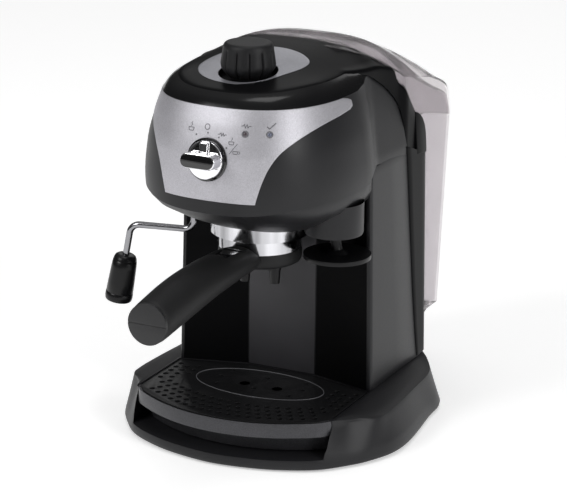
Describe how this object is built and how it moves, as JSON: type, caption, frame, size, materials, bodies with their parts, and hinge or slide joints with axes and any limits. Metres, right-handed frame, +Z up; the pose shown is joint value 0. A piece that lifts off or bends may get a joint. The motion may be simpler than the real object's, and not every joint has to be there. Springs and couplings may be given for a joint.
{
  "type": "espresso machine",
  "caption": "Home pump espresso machine with a twist-in filter holder, steam wand, drip tray and lift-out water tank behind a tall column.",
  "frame": {"origin": "on the table plane under the machine, in its middle plane, level with the front edge of the column's cheeks", "axes": "+X to the right seen from the front, -Y towards the user, +Z up"},
  "size_m": [0.2353, 0.3476, 0.2934],
  "materials": {
    "satin_black": "satin moulded",
    "matte_black": "matt",
    "black_plastic": "moulded",
    "rubber": "matt",
    "silver_panel": "metallic silver paint",
    "grey_inlay": "metallic grey paint",
    "lens": "tinted lens",
    "circuit_board": "solder resist",
    "gloss_black": "gloss",
    "chrome": "polished",
    "steel": "plain",
    "cast_aluminium": "cast",
    "brass": "turned",
    "hose": "translucent silicone",
    "knob_black": "soft matt",
    "handle_black": "satin",
    "tray_grey": "metallic dark grey",
    "smoke_clear": "clear smoked plastic"
  },
  "bodies": {
    "root": {"base_shell": "satin_black", "bottom_plate": "black_plastic", "rubber_feet": "rubber", "lower_housing": "satin_black", "upper_housing": "satin_black", "top_cover": "matte_black", "control_panel": "silver_panel", "knob_inlay": "grey_inlay", "indicator_lenses": "lens", "lamp_board": "circuit_board", "lower_shroud": "satin_black", "tamper": "gloss_black", "locking_ring": "chrome", "group_seal": "rubber", "shower_screen": "steel", "shower_screw": "steel", "boiler_base": "cast_aluminium", "boiler_gasket": "rubber", "boiler_top": "cast_aluminium", "heating_element": "steel", "boiler_screws": "steel", "thermostats": "black_plastic", "steam_valve": "brass", "steam_pipe": "chrome", "wand_collar": "brass", "selector_switch": "black_plastic", "pump_body": "black_plastic", "pump_mounts": "rubber", "pump_bracket": "steel", "suction_hose": "hose", "pressure_hose": "hose", "pump_spring": "steel", "cord_gland": "rubber", "tank_shelf": "black_plastic", "tank_socket": "rubber", "housing_screws": "steel"},
    "dial": {"selector_dial": "chrome", "dial_inset": "gloss_black"},
    "knob": {"steam_knob": "knob_black", "knob_spindle": "brass"},
    "needle": {"valve_needle": "steel"},
    "wand": {"steam_wand": "chrome"},
    "frother": {"frother_sleeve": "knob_black"},
    "portafilter": {"filter_holder": "chrome", "holder_cup": "handle_black", "filter_basket": "steel", "spouts": "handle_black", "holder_handle": "handle_black", "handle_cap": "handle_black", "lever_pin": "steel"},
    "lever": {"basket_lever": "gloss_black"},
    "tray": {"drip_tray": "tray_grey"},
    "grille": {"cup_grille": "gloss_black"},
    "tank": {"water_tank": "smoke_clear", "tank_strainer": "steel", "hinge_pin": "steel", "valve_spring": "steel"},
    "lid": {"tank_lid": "smoke_clear"},
    "poppet": {"valve_poppet": "rubber"},
    "plunger": {"pump_plunger": "steel"}
  },
  "joints": [
    {"name": "selector_turn", "type": "hinge", "parent": "root", "child": "dial", "pos_m": [0, -0.1074, 0.224], "axis": [0, 0.9903, -0.1392], "range_deg": [-30, 60]},
    {"name": "steam_knob_turn", "type": "hinge", "parent": "root", "child": "knob", "pos_m": [0, -0.046, 0.275], "axis": [0, 0, 1], "range_deg": [0, 270]},
    {"name": "needle_lift", "type": "slide", "parent": "root", "child": "needle", "axis": [0, 0, 1], "range_m": [0, 0.0008]},
    {"name": "wand_swivel", "type": "hinge", "parent": "root", "child": "wand", "pos_m": [-0.06, -0.012, 0.19], "axis": [0, 0, 1], "range_deg": [-8, 60]},
    {"name": "frother_pull", "type": "slide", "parent": "wand", "child": "frother", "axis": [-0.1694, -0.0382, -0.9848], "range_m": [0, 0.028]},
    {"name": "holder_twist", "type": "hinge", "parent": "root", "child": "portafilter", "pos_m": [0, -0.025, 0.16], "axis": [0, 0, 1], "range_deg": [-45, 0]},
    {"name": "basket_lever_flip", "type": "hinge", "parent": "portafilter", "child": "lever", "pos_m": [0, -0.067, 0.1472], "axis": [-1, 0, 0], "range_deg": [0, 30]},
    {"name": "tray_slide", "type": "slide", "parent": "root", "child": "tray", "axis": [0, -1, 0], "range_m": [0, 0.15]},
    {"name": "grille_lift", "type": "slide", "parent": "tray", "child": "grille", "axis": [0, 0, 1], "range_m": [0, 0.04]},
    {"name": "tank_lift", "type": "slide", "parent": "root", "child": "tank", "axis": [0, 0, 1], "range_m": [0, 0.13]},
    {"name": "lid_hinge", "type": "hinge", "parent": "tank", "child": "lid", "pos_m": [0, 0.153, 0.2074], "axis": [-1, 0, 0], "range_deg": [0, 85]},
    {"name": "tank_valve", "type": "slide", "parent": "tank", "child": "poppet", "axis": [0, 0, 1], "range_m": [0, 0.0025], "stiffness_N_per_m": 200, "deforming": ["valve_spring"]},
    {"name": "pump_stroke", "type": "slide", "parent": "root", "child": "plunger", "axis": [0, 0, 1], "range_m": [-0.004, 0], "stiffness_N_per_m": 2000, "deforming": ["pump_spring"]}
  ],
  "couplings": [
    {"joint": "needle_lift", "follows": "steam_knob_turn", "m_per_rad": 0.00015915}
  ]
}
